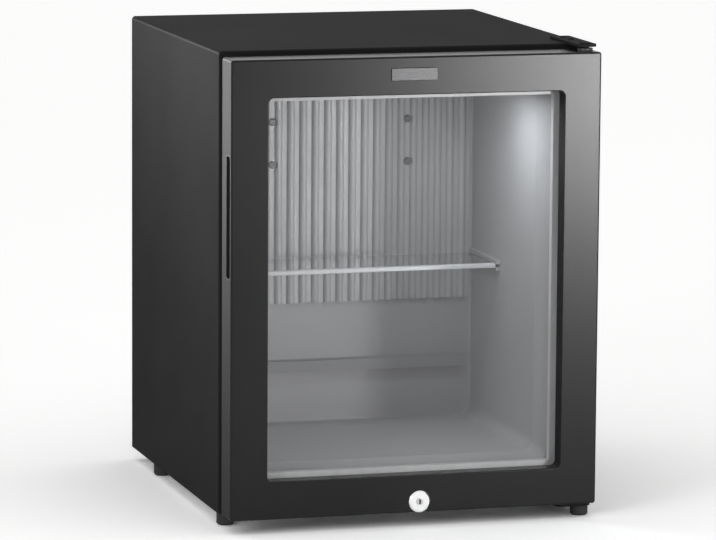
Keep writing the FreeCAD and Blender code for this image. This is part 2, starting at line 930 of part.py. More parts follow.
def make_foam():
    """Insulation that fills the cabinet round the liner, the cold block and the tubes."""
    gap = size.foam_clearance
    fill = rounded(
        "foam_fill",
        block(
            "foam_fill_block",
            grown((-inner_half, inner_half), -gap),
            (front + size.liner_wall + gap, back - size.sheet_gauge - gap),
            grown((underside + size.sheet_gauge, top - size.sheet_gauge), -gap),
        ),
        size.wrap_bend,
        both(runs_along("y"), lies_at("z", top - size.sheet_gauge - gap)),
    )
    tub_space = block(
        "foam_tub_space",
        grown((-cavity_half, cavity_half), size.liner_wall + gap),
        (front - size.overrun, cavity_back + size.liner_wall + gap),
        grown((floor, ceiling), size.liner_wall + gap),
    )
    collar_space = funnel(
        "foam_collar_space",
        (front, mouth_back + size.liner_wall + gap),
        grown((-cavity_half, cavity_half), size.mouth_flare + size.liner_wall + gap),
        grown((floor, ceiling), size.mouth_flare + size.liner_wall + gap),
        grown((-cavity_half, cavity_half), size.liner_wall + gap),
        grown((floor, ceiling), size.liner_wall + gap),
    )
    block_space = block(
        "foam_block_space",
        grown(block_x, gap),
        (cavity_back - size.overrun, block_back + gap),
        grown(block_z, gap),
    )
    channel = tube("foam_channel", evaporator_route(), size.tube_radius + gap, size.tube_bend)
    drain_space = rod(
        "foam_drain_space",
        "y",
        (drain_x, cavity_back, drain_z),
        size.drain_radius + gap,
        size.rear_wall,
    )
    return finish(cut("insulation_foam", fill, tub_space, collar_space, block_space, channel, drain_space))


def make_evaporator_plate():
    """Extruded plate: a rib profile repeated across a thin base, with spot faces for its screws."""
    plate = new_body("evaporator_plate")
    base = sketch_on(plate, "XY", "base", plate_bottom)
    rectangle(base, (-plate_half, plate_half), (plate_face, cavity_back))
    pad(plate, base, plate_height)
    rib = sketch_on(plate, "XY", "rib", plate_bottom)
    first = -(size.rib_pitch * (rib_count - 1) / 2)
    low, high = about(first, size.rib_width / 2)
    start = flat_point(low, plate_face)
    crest = flat_point(first, rib_face)
    end = flat_point(high, plate_face)
    arc = rib.addGeometry(Part.Arc(start, crest, end), False)
    chord = rib.addGeometry(Part.LineSegment(end, start), False)
    arc_first, arc_last = (1, 2) if rib.getPoint(arc, 1).isEqual(start, SIZES["match"]) else (2, 1)
    rib.addConstraint(Sketcher.Constraint("Coincident", arc, arc_last, chord, 1))
    rib.addConstraint(Sketcher.Constraint("Coincident", arc, arc_first, chord, 2))
    tie(rib, "DistanceX", chord, 1, high)
    tie(rib, "DistanceY", chord, 1, plate_face)
    tie(rib, "DistanceX", chord, 2, low)
    tie(rib, "DistanceY", chord, 2, plate_face)
    arc_size = size.rib_width * size.rib_width / size.rib_height / 8 + size.rib_height / 2
    number = rib.addConstraint(Sketcher.Constraint("Radius", arc, arc_size.value))
    bind(rib, f"Constraints[{number}]", arc_size)
    rib_pad = pad(plate, rib, plate_height)
    doc.recompute()
    pattern = plate.newObject("PartDesign::LinearPattern", "evaporator_plate_ribs")
    pattern.Originals = [rib_pad]
    pattern.Direction = (rib, ["H_Axis"])
    pattern.Occurrences = rib_count
    bind(pattern, "Length", size.rib_pitch * (rib_count - 1))
    plate.Tip = pattern
    seats = sketch_on(plate, "XZ", "seats", rib_face - size.overrun)
    holes = sketch_on(plate, "XZ", "holes", rib_face - size.overrun)
    for x in (-screw_x, screw_x):
        for z in (screw_low, screw_high):
            circle(seats, x, z, size.spot_face_radius)
            circle(holes, x, z, size.screw_radius + size.screw_clearance)
    pocket(plate, seats, size.overrun + size.rib_height)
    pocket(plate, holes, size.overrun + size.rib_height + size.plate_gauge)
    return finish(plate)


def make_evaporator_screws():
    screws = []
    for number, (x, z) in enumerate((x, z) for x in (-screw_x, screw_x) for z in (screw_low, screw_high)):
        head = size.screw_head_height
        screws.append(turned(f"evaporator_screw_{number}", "y", (x, plate_face - head, z), (
            (no_length, no_length),
            (size.screw_head_radius * SCREW_CROWN_SHARE, no_length),
            (size.screw_head_radius, head / 2),
            (size.screw_head_radius, head),
            (size.screw_radius, head),
            (size.screw_radius, head + size.screw_length),
            (no_length, head + size.screw_length),
        )))
    return finish(group("evaporator_screws", screws))


def make_cold_block():
    lump = slab("cold_block", "XZ", cavity_back, size.block_depth, block_x, block_z)
    holes = sketch_on(lump, "XZ", "holes", cavity_back)
    for x in (-screw_x, screw_x):
        for z in (screw_low, screw_high):
            circle(holes, x, z, size.screw_radius + size.screw_clearance)
    pocket(lump, holes, size.screw_length)
    return finish(lump)


def evaporator_route():
    """From the condenser's end into the insulation, along the cold block and back, down to the vessel."""
    far = circuit_x - size.evaporator_reach
    return (
        (condenser_end, circuit_y, condenser_z),
        (circuit_x, circuit_y, condenser_z),
        (circuit_x, circuit_y, evaporator_high),
        (circuit_x, evaporator_y, evaporator_high),
        (far, evaporator_y, evaporator_high),
        (far, evaporator_y, evaporator_low),
        (circuit_x, evaporator_y, evaporator_low),
        (circuit_x, circuit_y, evaporator_low),
        (circuit_x, circuit_y, vessel_z),
    )


def vessel_bar(name):
    """The vessel's plain cylinder, which also trims the tubes that are welded to it."""
    return rod(name, "x", (vessel_x[0], circuit_y, vessel_z), size.vessel_radius, vessel_x[1] - vessel_x[0])


def make_evaporator_tube():
    bar = tube("evaporator_bar", evaporator_route(), size.tube_radius, size.tube_bend)
    return finish(cut("evaporator_tube", bar, vessel_bar("evaporator_tube_end")))


def make_boiler():
    """Upright boiler tube in its insulated jacket, with the heater cartridge beside it."""
    foot = underside + size.boiler_foot
    jacket_bottom = foot + size.jacket_lift
    boiler = tube("boiler_tube", (
        (boiler_x, circuit_y, foot),
        (boiler_x, circuit_y, condenser_z),
        (condenser_start, circuit_y, condenser_z),
    ), size.boiler_radius, size.boiler_bend)
    finish(boiler)
    jacket = slab(
        "boiler_jacket",
        "XY",
        jacket_bottom,
        size.jacket_height,
        about(boiler_x, size.jacket_side / 2),
        about(circuit_y, size.jacket_side / 2),
        all_round(size.jacket_round),
    )
    heater_x = boiler_x + size.heater_offset
    bores = sketch_on(jacket, "XY", "bore", jacket_bottom)
    circle(bores, boiler_x, circuit_y, size.boiler_radius + size.tube_clearance)
    pocket(jacket, bores, size.jacket_height)
    jacket_top = jacket_bottom + size.jacket_height
    well = sketch_on(jacket, "XY", "well", jacket_top - size.heater_depth)
    circle(well, heater_x, circuit_y, size.heater_radius + size.tube_clearance)
    pocket(jacket, well, size.heater_depth)
    finish(jacket)
    finish(rod(
        "heater_cartridge",
        "z",
        (heater_x, circuit_y, jacket_top - size.heater_depth),
        size.heater_radius,
        size.heater_depth + size.heater_stub,
    ))
    return foot


def make_condenser():
    length = condenser_end - condenser_start
    finish(rod(
        "condenser_tube",
        "x",
        (condenser_start, circuit_y, condenser_z),
        size.condenser_radius,
        length,
    ))
    fin_count = int((length / size.fin_pitch).value)
    spread = size.fin_pitch * (fin_count - 1)
    first = condenser_start + (length - spread - size.fin_gauge) / 2
    fins = []
    for number in range(fin_count):
        at = first + size.fin_pitch * number
        fin = slab(
            f"condenser_fin_{number}",
            "YZ",
            at,
            size.fin_gauge,
            about(circuit_y, size.fin_side / 2),
            about(condenser_z, size.fin_side / 2),
        )
        hole = sketch_on(fin, "YZ", "hole", at)
        circle(hole, circuit_y, condenser_z, size.condenser_radius + size.tube_clearance)
        pocket(fin, hole, size.fin_gauge)
        fins.append(fin)
    finish(group("condenser_fins", fins))


def coil_route():
    """Passes that climb from the vessel and end on the upright tube."""
    turn = coil_pitch / 2
    left = coil_left + turn
    right = coil_right - turn
    route = [(left, circuit_y, vessel_z), (left, circuit_y, coil_low)]
    for number in range(COIL_PASS_COUNT - 1):
        height = coil_low + coil_pitch * number
        end = left if number % 2 else right
        route.append((end, circuit_y, height))
        route.append((end, circuit_y, height + coil_pitch))
    route.append((circuit_x, circuit_y, coil_high))
    return route


def make_absorber():
    vessel = rounded(
        "absorber_vessel",
        vessel_bar("vessel_bar"),
        size.vessel_round,
        lambda edge: edge.Closed and edge.BoundBox.XLength < size.vessel_round.value,
    )
    finish(vessel)
    bar = tube("coil_bar", coil_route(), size.tube_radius, coil_pitch / 2)
    upright = rod(
        "coil_upright",
        "z",
        (circuit_x, circuit_y, vessel_z),
        size.tube_radius,
        evaporator_low - vessel_z,
    )
    finish(cut("absorber_coil", bar, vessel_bar("coil_vessel"), upright))


def make_solution_line(boiler_foot):
    """Thin tube from the vessel's end to the foot of the boiler."""
    low = vessel_z - size.vessel_radius / 3
    bar = tube("solution_bar", (
        (vessel_x[0] + size.vessel_radius, circuit_y, low),
        (boiler_x, circuit_y, low),
        (boiler_x, circuit_y, boiler_foot),
    ), size.solution_radius, size.solution_bend)
    return finish(cut("solution_line", bar, vessel_bar("solution_vessel")))


def make_unit_supports():
    """Upright channels behind the coil and angle brackets under the vessel, all on the back panel."""
    face = circuit_y - size.tube_radius - size.tube_clearance
    low = coil_low - size.channel_overhang
    high = coil_high + size.channel_overhang
    gauge = size.channel_gauge
    channels = []
    for number, side in enumerate((-1, 1)):
        centre = (coil_left + coil_right + size.channel_spread * side) / 2
        outer = about(centre, size.channel_width / 2)
        inner = grown(outer, -gauge)
        body = new_body(f"coil_rail_{number}")
        outline = sketch_on(body, "XY", "outline", low)
        polygon(outline, (
            (outer[0], back),
            (inner[0], back),
            (inner[0], face - gauge),
            (inner[1], face - gauge),
            (inner[1], back),
            (outer[1], back),
            (outer[1], face),
            (outer[0], face),
        ))
        pad(body, outline, high - low)
        channels.append(body)
    finish(group("coil_rails", channels))
    under = vessel_z - size.vessel_radius
    brackets = []
    for number, side in enumerate((-1, 1)):
        centre = (vessel_x[0] + vessel_x[1] + size.bracket_spread * side) / 2
        body = new_body(f"vessel_bracket_{number}", x=centre - size.bracket_width / 2)
        outline = sketch_on(body, "YZ", "outline")
        gauge = size.bracket_gauge
        polygon(outline, (
            (back, under - gauge),
            (circuit_y + size.vessel_radius, under - gauge),
            (circuit_y + size.vessel_radius, under),
            (back + gauge, under),
            (back + gauge, under + size.bracket_upstand),
            (back, under + size.bracket_upstand),
        ))
        pad(body, outline, size.bracket_width)
        brackets.append(body)
    finish(group("vessel_brackets", brackets))


def make_control_box():
    """Electric box on the back panel, with a lid and the gland of the mains lead below."""
    x = box_x
    z_low = underside + size.box_lift
    z = (z_low, z_low + size.box_height)
    box = slab("control_box", "XZ", back, size.box_depth, x, z, all_round(size.box_round))
    space = sketch_on(box, "XZ", "space", back + size.box_wall)
    wall = size.box_wall
    rectangle(space, grown(x, -wall), grown(z, -wall), all_round(size.box_round - wall))
    pocket(box, space, size.box_depth - wall)
    middle_x = (x[0] + x[1]) / 2
    middle_y = back + size.box_depth / 2
    entry = sketch_on(box, "XY", "entry", z_low)
    circle(entry, middle_x, middle_y, size.gland_radius + size.tube_clearance)
    pocket(box, entry, wall)
    finish(box)
    lid_start = back + size.box_depth
    lid = slab("control_box_lid", "XZ", lid_start, size.lid_gauge, x, z, all_round(size.box_round))
    lip = sketch_on(lid, "XZ", "lip", back + size.box_depth - size.lid_lip)
    margin = wall + size.seat_clearance
    rectangle(lip, grown(x, -margin), grown(z, -margin), all_round(size.box_round - wall))
    pad(lid, lip, size.lid_lip)
    finish(lid)
    flange_height = size.gland_length - wall
    finish(turned("cable_gland", "z", (middle_x, middle_y, z_low - flange_height), (
        (size.gland_bore_radius, no_length),
        (size.gland_radius * GLAND_NOSE_SHARE, no_length),
        (size.gland_radius, flange_height / 2),
        (size.gland_flange_radius, flange_height - size.gland_flange),
        (size.gland_flange_radius, flange_height),
        (size.gland_radius, flange_height),
        (size.gland_radius, size.gland_length),
        (size.gland_bore_radius, size.gland_length),
    )))


def make_drip_channel():
    """Gutter across the rear wall under the cooling plate, and its drain to the rear."""
    body = new_body("drip_channel", x=-gutter_half)
    outline = sketch_on(body, "YZ", "outline")
    lip = gutter_lip
    bottom = lip - size.drip_height
    out = cavity_back - size.drip_depth
    slope = out + size.drip_depth * GUTTER_SLOPE_SHARE
    wall = size.drip_wall
    polygon(outline, (
        (slope, bottom),
        (cavity_back, bottom),
        (cavity_back, lip),
        (cavity_back - wall, lip),
        (cavity_back - wall, bottom + wall),
        (slope + wall, bottom + wall),
        (out + wall, lip),
        (out, lip),
    ))
    pad(body, outline, gutter_half * 2)
    hole = sketch_on(body, "XZ", "hole", cavity_back - wall)
    circle(hole, drain_x + gutter_half, drain_z, size.drain_radius + size.tube_clearance)
    pocket(body, hole, wall)
    finish(body)
    length = wall + size.rear_wall + size.drain_stub
    finish(turned("drain_tube", "y", (drain_x, cavity_back - wall, drain_z), (
        (size.drain_bore_radius, no_length),
        (size.drain_radius, no_length),
        (size.drain_radius, length),
        (size.drain_bore_radius, length),
    )))


def make_lamp():
    """Ceiling housing with the light strip below it and the thermostat dial beside the strip."""
    lens_half = size.lens_width / 2
    stem_x = size.lamp_offset - size.knob_offset
    dial_half = size.knob_dial_radius + size.lamp_margin / 2
    x = (stem_x - dial_half, size.lamp_offset + lens_half + size.lamp_margin)
    y = (front + size.lamp_setback, front + size.lamp_setback + size.lamp_depth)
    housing_bottom = ceiling - size.lamp_height
    housing = slab("lamp_housing", "XY", housing_bottom, size.lamp_height, x, y, all_round(size.lamp_round))
    stem_y = (y[0] + y[1]) / 2
    bore = sketch_on(housing, "XY", "bore", housing_bottom)
    circle(bore, stem_x, stem_y, size.knob_stem_radius + size.pin_clearance)
    pocket(housing, bore, size.knob_stem_length + size.knob_gap)
    finish(housing)
    lens = slab(
        "lamp_lens",
        "XY",
        housing_bottom - size.lens_drop,
        size.lens_drop,
        about(size.lamp_offset, lens_half),
        grown(y, -size.lens_margin),
        all_round(size.lens_round),
    )
    round_body(lens, size.lens_round, lies_at("z", housing_bottom - size.lens_drop))
    finish(lens)
    make_thermostat_knob(stem_x, stem_y, housing_bottom)


def make_thermostat_knob(stem_x, stem_y, housing_bottom):
    height = size.knob_height
    face = housing_bottom - size.knob_gap - height
    knob = turned("thermostat_knob", "z", (stem_x, stem_y, face), (
        (no_length, no_length),
        (size.knob_radius - size.knob_groove_radius, no_length),
        (size.knob_radius, size.knob_groove_radius),
        (size.knob_radius, height),
        (size.knob_stem_radius, height),
        (size.knob_stem_radius, height + size.knob_stem_length),
        (no_length, height + size.knob_stem_length),
    ))
    groove = sketch_on(knob, "XY", "groove")
    circle(groove, size.knob_radius, no_length, size.knob_groove_radius)
    flute = pocket(knob, groove, height)
    pattern = knob.newObject("PartDesign::PolarPattern", "thermostat_knob_flutes")
    pattern.Originals = [flute]
    pattern.Axis = (groove, ["N_Axis"])
    pattern.Angle = 360
    pattern.Occurrences = KNOB_GROOVE_COUNT
    knob.Tip = pattern
    return finish(knob)


def make_shelf():
    """Half-depth glass shelf with a clip-on front trim."""
    glass = slab(
        "shelf_glass",
        "XY",
        shelf_under,
        size.shelf_glass_gauge,
        (-shelf_half, shelf_half),
        (shelf_front, shelf_rear),
    )
    finish(glass)
    trim_half = cavity_half - size.runner_width - size.trim_side_gap
    body = new_body("shelf_trim", x=-trim_half)
    outline = sketch_on(body, "YZ", "outline")
    extra = (size.trim_height - size.shelf_glass_gauge) / 2
    low = shelf_under - extra
    high = shelf_top + extra
    nose = shelf_front - size.trim_wall
    tail = nose + size.trim_depth
    polygon(outline, (
        (nose, low),
        (tail, low),
        (tail, shelf_under),
        (shelf_front, shelf_under),
        (shelf_front, shelf_top),
        (tail, shelf_top),
        (tail, high),
        (nose, high),
    ))
    pad(body, outline, trim_half * 2)
    round_body(body, size.trim_wall * TRIM_ROUND_SHARE, both(lies_at("y", nose), runs_along("x")))
    finish(body)


def make_feet():
    """Turned feet; the one under the lower hinge is shorter by its bracket."""
    front_y = front + size.foot_front_inset
    rear_y = back - size.foot_rear_inset
    foot_x = half_width - size.foot_side_inset
    places = (
        ("foot_front_left", -foot_x, front_y, underside),
        ("foot_rear_left", -foot_x, rear_y, underside),
        ("foot_rear_right", foot_x, rear_y, underside),
        ("hinge_foot", hinge_x, hinge_y, underside - size.hinge_bracket_gauge),
    )
    for name, x, y, height in places:
        finish(turned(name, "z", (x, y, no_length), (
            (no_length, no_length),
            (size.foot_pad_radius, no_length),
            (size.foot_radius, size.foot_chamfer),
            (size.foot_radius, height),
            (no_length, height),
        )))


def make_hinges():
    """Top leaf and bottom bracket with their pins."""
    lug_x = about(hinge_x, size.hinge_lug_width / 2)
    lug_front = hinge_y - size.hinge_lug_width / 2
    leaf = slab(
        "upper_hinge_plate",
        "XY",
        top,
        size.hinge_gauge,
        lug_x,
        (lug_front, front + size.hinge_tail),
        (size.hinge_lug_round, size.hinge_lug_round, size.hinge_tail_round, size.hinge_tail_round),
    )
    hole = sketch_on(leaf, "XY", "hole", top)
    circle(hole, hinge_x, hinge_y, size.pin_radius + size.pin_clearance)
    pocket(leaf, hole, size.hinge_gauge)
    finish(leaf)
    pin_low = door_top - size.pin_engagement
    leaf_top = top + size.hinge_gauge - pin_low
    finish(turned("upper_hinge_pin", "z", (hinge_x, hinge_y, pin_low), (
        (no_length, no_length),
        (size.pin_radius, no_length),
        (size.pin_radius, leaf_top),
        (size.pin_head_radius, leaf_top),
        (size.pin_head_radius, leaf_top + size.pin_head),
        (no_length, leaf_top + size.pin_head),
    )))
    bracket_low = underside - size.hinge_bracket_gauge
    bracket = slab(
        "lower_hinge_bracket",
        "XY",
        bracket_low,
        size.hinge_bracket_gauge,
        (lug_x[1] - size.hinge_bracket_width, lug_x[1]),
        (lug_front, front + size.hinge_tail),
        (size.hinge_lug_round, size.hinge_lug_round, size.hinge_tail_round, size.hinge_tail_round),
    )
    hole = sketch_on(bracket, "XY", "hole", bracket_low)
    circle(hole, hinge_x, hinge_y, size.pin_radius + size.pin_clearance)
    pocket(bracket, hole, size.hinge_bracket_gauge)
    finish(bracket)
    finish(rod(
        "lower_hinge_pin",
        "z",
        (hinge_x, hinge_y, bracket_low),
        size.pin_radius,
        size.hinge_bracket_gauge + size.door_bottom_gap + size.pin_engagement,
    ))


def make_bushes():
    """Flanged bushes in the door's ends, in which it turns on the pins."""
    bore = size.pin_radius + size.pin_clearance
    depth = size.pin_engagement + size.bush_end_gap
    flange_radius = bush_radius + size.bush_flange_width
    finish(turned("upper_hinge_bush", "z", (hinge_x, hinge_y, door_top - depth), (
        (bore, no_length),
        (bush_radius, no_length),
        (bush_radius, depth),
        (flange_radius, depth),
        (flange_radius, depth + size.bush_flange),
        (bore, depth + size.bush_flange),
    )))
    washer = size.door_bottom_gap - size.thrust_clearance
    finish(turned("lower_hinge_bush", "z", (hinge_x, hinge_y, underside + size.thrust_clearance), (
        (bore, no_length),
        (flange_radius, no_length),
        (flange_radius, washer),
        (bush_radius, washer),
        (bush_radius, washer + depth),
        (bore, washer + depth),
    )))


grip_z = (door_bottom + size.grip_lift, door_bottom + size.grip_lift + size.grip_height)
grip_front = door_front + size.door_wall + size.grip_clearance
grip_y = (grip_front, grip_front + size.grip_width)


def make_door_frame():
    """Moulded front frame: hollow rails open to the rear, a rabbet for the glass, bosses for the bushes."""
    frame = new_body("door_frame")
    outline = sketch_on(frame, "XZ", "outline", door_front)
    ring(outline, (door_x, door_z), (opening_x, opening_z), size.door_corner, size.opening_corner)
    pad(frame, outline, frame_depth)
    rabbet = sketch_on(frame, "XZ", "rabbet", glass_front)
    rabbet_x = grown(pane_x, size.pane_clearance)
    rabbet_z = grown(pane_z, size.pane_clearance)
    rectangle(rabbet, rabbet_x, rabbet_z)
    pocket(frame, rabbet, glazing_depth)
    hollow = sketch_on(frame, "XZ", "hollow", door_front + size.door_wall)
    wall = size.door_wall
    ring(hollow, (grown(door_x, -wall), grown(door_z, -wall)), (grown(rabbet_x, wall), grown(rabbet_z, wall)))
    pocket(frame, hollow, frame_depth - wall)
    depth = size.pin_engagement + size.bush_end_gap
    boss_depth = depth + size.boss_wall
    boss_radius = bush_radius + size.boss_wall
    bosses = (("upper", door_top - boss_depth, door_top - depth), ("lower", door_bottom, door_bottom))
    for name, low, bore_low in bosses:
        boss = sketch_on(frame, "XY", f"{name}_boss", low)
        circle(boss, hinge_x, hinge_y, boss_radius)
        pad(frame, boss, boss_depth)
        bore = sketch_on(frame, "XY", f"{name}_bore", bore_low)
        circle(bore, hinge_x, hinge_y, bush_radius + size.lock_clearance)
        pocket(frame, bore, depth)
    lock_hole = sketch_on(frame, "XZ", "lock_hole", door_front)
    circle(lock_hole, lock_x, lock_z, size.barrel_radius + size.seat_clearance)
    pocket(frame, lock_hole, wall)
    grip_window = sketch_on(frame, "YZ", "grip_window", -half_width)
    gap = size.grip_clearance
    rectangle(grip_window, grown(grip_y, gap), grown(grip_z, gap), all_round(size.grip_round + gap))
    pocket(frame, grip_window, wall)
    at_front = lies_at("y", door_front)

    def outer_edge(edge):
        middle = edge.BoundBox.Center
        inside_x = abs(middle.x) < half_width.value - size.door_corner.value
        lowest = door_bottom.value + size.door_corner.value
        highest = door_top.value - size.door_corner.value
        inside_z = lowest < middle.z < highest
        return not (inside_x and inside_z)

    def opening_edge(edge):
        middle = edge.BoundBox.Center
        inside_x = abs(middle.x) < opening_half.value + size.opening_corner.value
        low = opening_z[0].value - size.opening_corner.value
        high = opening_z[1].value + size.opening_corner.value
        return inside_x and low < middle.z < high

    round_body(frame, size.door_front_round, both(at_front, outer_edge))
    round_body(frame, size.opening_round, both(at_front, opening_edge))
    return finish(frame)


gasket_x = grown(door_x, -size.gasket_inset)
gasket_z = (door_bottom + size.gasket_bottom_inset, door_top - size.gasket_inset)
slot_inset = (size.gasket_width - size.gasket_slot) / 2
slot_outer = (grown(gasket_x, -slot_inset), grown(gasket_z, -slot_inset))
slot_inner = (
    grown(slot_outer[0], -size.gasket_slot),
    grown(slot_outer[1], -size.gasket_slot),
)


def make_door_rear_frame():
    """Moulded ring that closes the rails, clamps the glass and carries a key for the gasket."""
    frame = frame_slab(
        "door_rear_frame",
        rear_frame_front,
        size.rear_frame_gauge,
        (grown(door_x, -size.rear_frame_inset), grown(door_z, -size.rear_frame_inset)),
        (opening_x, opening_z),
        size.door_corner,
        size.opening_corner,
    )
    gap = size.slot_clearance
    key = sketch_on(frame, "XZ", "key", door_rear)
    ring(
        key,
        (grown(slot_outer[0], -gap), grown(slot_outer[1], -gap)),
        (grown(slot_inner[0], gap), grown(slot_inner[1], gap)),
    )
    pad(frame, key, size.key_height)
    lock_hole = sketch_on(frame, "XZ", "lock_hole", rear_frame_front)
    circle(lock_hole, lock_x, lock_z, size.barrel_radius + size.seat_clearance)
    pocket(frame, lock_hole, size.rear_frame_gauge)
    return finish(frame)


def make_gasket():
    """Seal with a foot, a narrower cushion and a slot for the frame's key and the magnet bars."""
    thickness = size.gasket_gap - size.gasket_float
    inner_x = grown(gasket_x, -size.gasket_width)
    inner_z = grown(gasket_z, -size.gasket_width)
    gasket = frame_slab(
        "door_gasket",
        door_rear,
        size.gasket_base,
        (gasket_x, gasket_z),
        (inner_x, inner_z),
        size.gasket_corner,
        size.gasket_corner,
    )
    shoulder = size.gasket_shoulder
    cushion = sketch_on(gasket, "XZ", "cushion", door_rear + size.gasket_base)
    ring(
        cushion,
        (grown(gasket_x, -shoulder), grown(gasket_z, -shoulder)),
        (grown(inner_x, shoulder), grown(inner_z, shoulder)),
        size.gasket_corner,
        size.gasket_corner,
    )
    pad(gasket, cushion, thickness - size.gasket_base)
    slot = sketch_on(gasket, "XZ", "slot", door_rear)
    ring(slot, slot_outer, slot_inner)
    pocket(gasket, slot, thickness - size.gasket_skin)
    finish(gasket)
    bar_rear = door_rear + thickness - size.gasket_skin
    y = (bar_rear - size.magnet_gauge, bar_rear)
    gap = size.slot_clearance
    end = size.gasket_slot + size.magnet_end_gap
    bars = []
    for number in range(2):
        x = (slot_outer[0][0], slot_inner[0][0]) if number == 0 else (slot_inner[0][1], slot_outer[0][1])
        bars.append(block(f"magnet_upright_{number}", grown(x, -gap), y, grown(slot_outer[1], -end)))
        z = (slot_outer[1][0], slot_inner[1][0]) if number == 0 else (slot_inner[1][1], slot_outer[1][1])
        bars.append(block(f"magnet_level_{number}", grown(slot_outer[0], -end), y, grown(z, -gap)))
    finish(group("gasket_magnets", bars))


def make_glazing():
    """Two panes held apart by a metal spacer, sealed round the edge."""
    for name, at in (("front_pane", glass_front), ("rear_pane", rear_frame_front - size.pane_gauge)):
        finish(slab(name, "XZ", at, size.pane_gauge, pane_x, pane_z))
    gap_front = glass_front + size.pane_gauge
    spacer_x = grown(pane_x, -size.sealant_width)
    spacer_z = grown(pane_z, -size.sealant_width)
    finish(frame_slab("pane_sealant", gap_front, size.spacer_depth, (pane_x, pane_z), (spacer_x, spacer_z)))
    finish(frame_slab(
        "pane_spacer",
        gap_front,
        size.spacer_depth,
        (spacer_x, spacer_z),
        (grown(spacer_x, -size.spacer_face), grown(spacer_z, -size.spacer_face)),
    ))


def make_grip_cup():
    """Open-sided cup that fingers reach into from the left."""
    cup = slab("grip_cup", "YZ", -half_width, size.grip_depth, grip_y, grip_z, all_round(size.grip_round))
    space = sketch_on(cup, "YZ", "space", -half_width)
    wall = size.grip_wall
    rectangle(space, grown(grip_y, -wall), grown(grip_z, -wall), all_round(size.grip_round - wall))
    pocket(cup, space, size.grip_depth - wall)
    return finish(cup)


def make_badge_plate():
    middle = door_top - size.door_rail / 2 + size.badge_lift
    plate = slab(
        "badge_plate",
        "XZ",
        door_front - size.badge_gauge,
        size.badge_gauge,
        about(-size.badge_offset, size.badge_width / 2),
        about(middle, size.badge_height / 2),
        all_round(size.badge_round),
    )
    round_body(plate, size.badge_gauge / 2, lies_at("y", door_front - size.badge_gauge))
    return finish(plate)


def make_lock():
    """Cam lock: a fixed barrel with its nut, and a plug that carries the cam."""
    bezel = size.bezel_depth
    length = size.door_thickness + bezel
    bore = size.plug_radius + size.lock_clearance
    finish(turned("lock_barrel", "y", (lock_x, door_front - bezel, lock_z), (
        (bore, no_length),
        (size.bezel_radius - size.bezel_chamfer, no_length),
        (size.bezel_radius, size.bezel_chamfer),
        (size.bezel_radius, bezel),
        (size.barrel_radius, bezel),
        (size.barrel_radius, length),
        (bore, length),
    )))
    nut = new_body("lock_nut")
    outline = sketch_on(nut, "XZ", "outline", door_front + size.door_wall)
    corner_share = 1 / math.cos(math.pi / NUT_SIDE_COUNT)
    corners = []
    for number in range(NUT_SIDE_COUNT):
        angle = math.pi * (2 * number + 1) / NUT_SIDE_COUNT - math.pi / 2
        corner = size.nut_flats / 2 * corner_share
        corners.append((lock_x + corner * math.cos(angle), lock_z + corner * math.sin(angle)))
    polygon(outline, corners)
    circle(outline, lock_x, lock_z, size.barrel_radius + size.lock_clearance)
    pad(nut, outline, size.nut_depth)
    finish(nut)
    plug_front = door_front - size.lock_projection
    plug_length = cam_front - plug_front
    stub_length = plug_length + size.cam_gauge
    well = stub_length - size.cam_screw_length
    screw_bore = size.cam_screw_radius + size.lock_clearance
    plug = turned("lock_plug", "y", (lock_x, plug_front, lock_z), (
        (no_length, no_length),
        (size.plug_radius, no_length),
        (size.plug_radius, plug_length),
        (size.cam_stub_radius, plug_length),
        (size.cam_stub_radius, stub_length),
        (screw_bore, stub_length),
        (screw_bore, well),
        (no_length, well),
    ))
    keyway = sketch_on(plug, "XY", "keyway")
    rectangle(keyway, about(no_length, size.keyway_width / 2), about(no_length, size.keyway_height / 2))
    pocket(plug, keyway, size.keyway_depth)
    finish(plug)
    half_cam = size.cam_width / 2
    cam = slab(
        "lock_cam",
        "XZ",
        cam_front,
        size.cam_gauge,
        (lock_x - half_cam, lock_x + size.cam_reach),
        about(lock_z, half_cam),
        all_round(size.cam_stub_radius),
    )
    hole = sketch_on(cam, "XZ", "hole", cam_front)
    circle(hole, lock_x, lock_z, size.cam_stub_radius + size.lock_clearance)
    pocket(cam, hole, size.cam_gauge)
    finish(cam)
    shank = size.cam_screw_length
    finish(turned("cam_screw", "y", (lock_x, cam_rear - shank, lock_z), (
        (no_length, no_length),
        (size.cam_screw_radius, no_length),
        (size.cam_screw_radius, shank),
        (size.cam_screw_head_radius, shank),
        (size.cam_screw_head_radius, shank + size.cam_screw_head),
        (no_length, shank + size.cam_screw_head),
    )))


def make_lock_keeper():
    """Angle under the front sill, whose upright stands between the door and the turned cam."""
    body = new_body("lock_keeper", x=lock_x - size.keeper_width / 2)
    outline = sketch_on(body, "YZ", "outline")
    low = underside - size.keeper_gauge
    high = lock_z - size.cam_width / 2 - size.keeper_drop
    polygon(outline, (
        (keeper_front, low),
        (front + size.keeper_foot, low),
        (front + size.keeper_foot, underside),
        (keeper_front + size.keeper_gauge, underside),
        (keeper_front + size.keeper_gauge, high),
        (keeper_front, high),
    ))
    pad(body, outline, size.keeper_width)
    return finish(body)


def export_parts():
    doc.recompute()
    for each in doc.Objects:
        if any(word in each.State for word in ("Invalid", "Error")):
            raise RuntimeError(f"{each.Name} did not build: {each.State}")
    for piece in finished:
        if piece.Shape.isNull() or not piece.Shape.isValid():
            raise RuntimeError(f"{piece.Label} has no valid shape")
    os.makedirs("parts", exist_ok=True)
    for piece in finished:
        piece.Shape.exportStep(f"parts/{piece.Label}.step")


